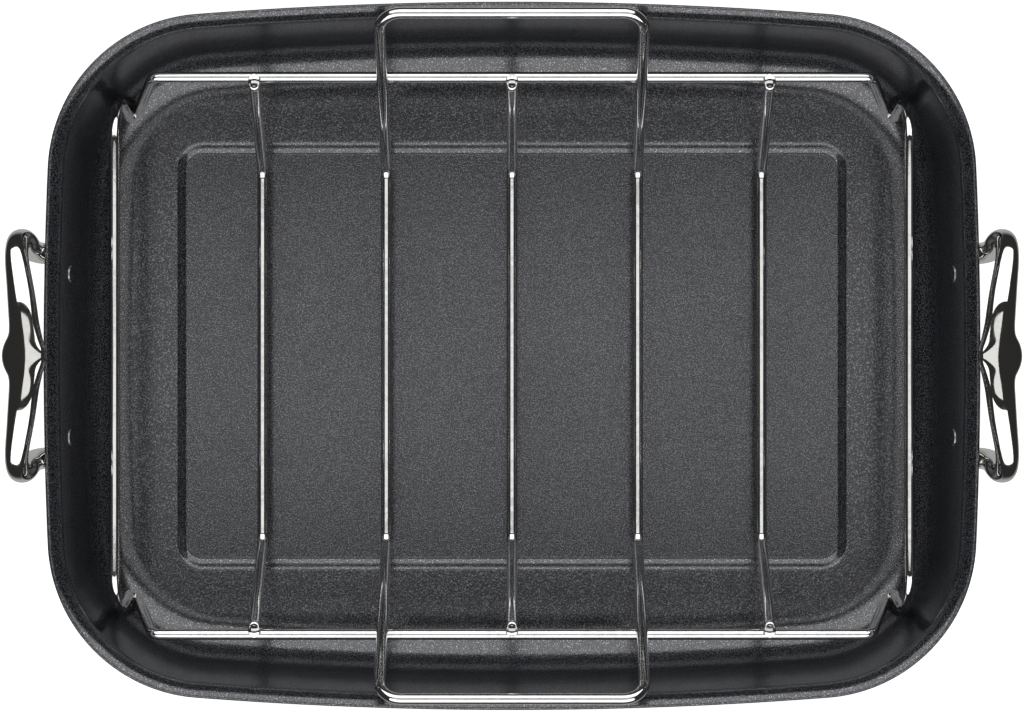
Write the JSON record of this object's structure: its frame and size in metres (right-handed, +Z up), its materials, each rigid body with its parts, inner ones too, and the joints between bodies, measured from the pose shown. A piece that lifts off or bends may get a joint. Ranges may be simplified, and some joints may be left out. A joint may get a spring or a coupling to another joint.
{
  "type": "roasting pan with rack",
  "caption": "Deep coated roasting pan with bowed sides, upright cast end handles and a lift-out wire rack that cradles a roast above the floor.",
  "frame": {"origin": "on the table under the middle of the pan", "axes": "+X along the pan towards one cast handle, +Y across the pan, +Z up"},
  "size_m": [0.446, 0.3184, 0.1178],
  "materials": {
    "pan_coating": "charcoal non-stick coating with fine light flecks, satin",
    "cast_steel": "cast stainless steel, polished",
    "rivet_steel": "stainless steel, the inner end coated with the pan",
    "wire_steel": "stainless wire, bright polished"
  },
  "bodies": {
    "pan": {"pan_body": "pan_coating", "left_handle": "cast_steel", "right_handle": "cast_steel", "left_rear_rivet": "rivet_steel", "left_front_rivet": "rivet_steel", "right_rear_rivet": "rivet_steel", "right_front_rivet": "rivet_steel"},
    "rack": {"rack_frame": "wire_steel", "rack_handle_loop": "wire_steel", "rack_left_bar": "wire_steel", "rack_centre_bar": "wire_steel", "rack_right_bar": "wire_steel"}
  },
  "joints": [
    {"name": "rack_lift", "type": "slide", "parent": "pan", "child": "rack", "axis": [0, 0, 1], "range_m": [0, 0.13]}
  ]
}
